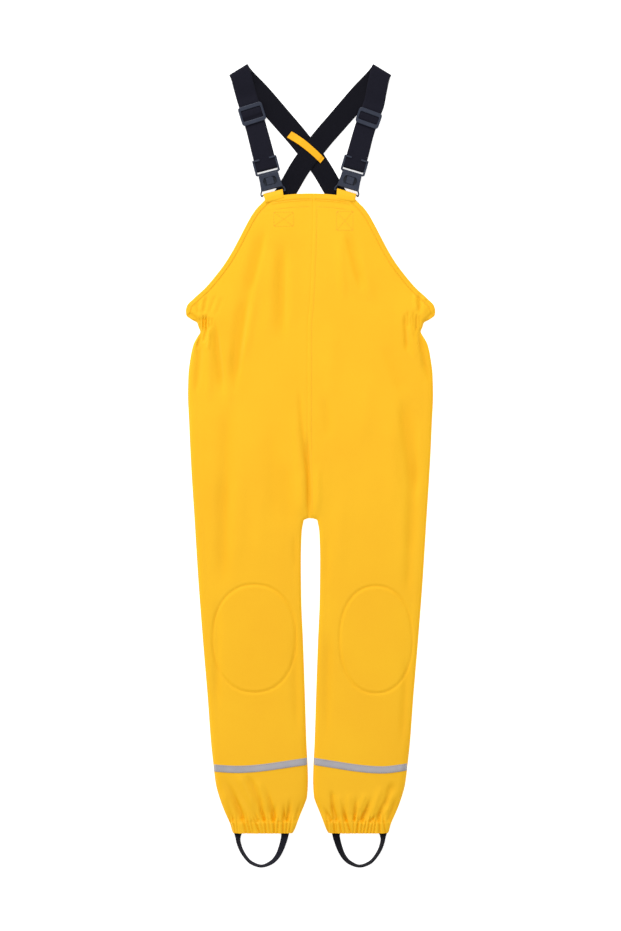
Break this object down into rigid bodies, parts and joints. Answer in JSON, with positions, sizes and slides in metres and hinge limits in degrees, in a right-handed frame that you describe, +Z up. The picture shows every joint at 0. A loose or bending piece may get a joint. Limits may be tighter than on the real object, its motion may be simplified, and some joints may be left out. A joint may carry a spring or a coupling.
{
  "type": "rain trousers",
  "caption": "Child's bib-and-brace rain trousers laid flat, front side up, with crossed elastic braces, buckles, oval knees, reflective bands and foot straps.",
  "frame": {"origin": "under the middle of the garment's box, on the surface that it lies on", "axes": "+Y from the cuffs to the shoulder folds of the braces, +Z up from the surface out of the front, +X to the right as the front is seen"},
  "size_m": [0.299, 0.962, 0.0101],
  "materials": {
    "rain_cloth": "yellow coated rain cloth, satin",
    "reflective_tape": "grey reflective tape",
    "elastic": "dark navy woven elastic",
    "plastic": "dark slate blue moulded plastic"
  },
  "bodies": {
    "root": {"front_left": "rain_cloth", "front_right": "rain_cloth", "back_left": "rain_cloth", "back_right": "rain_cloth", "knee_left": "rain_cloth", "knee_right": "rain_cloth", "band_left": "reflective_tape", "band_right": "reflective_tape", "foot_strap_left": "elastic", "foot_strap_right": "elastic", "brace_left": "elastic", "brace_right": "elastic", "slider_left": "plastic", "slider_right": "plastic", "buckle_frame_left": "plastic", "buckle_frame_right": "plastic", "buckle_tongue_left": "plastic", "buckle_tongue_right": "plastic", "tab_left": "rain_cloth", "tab_right": "rain_cloth", "keeper": "rain_cloth"}
  },
  "joints": []
}
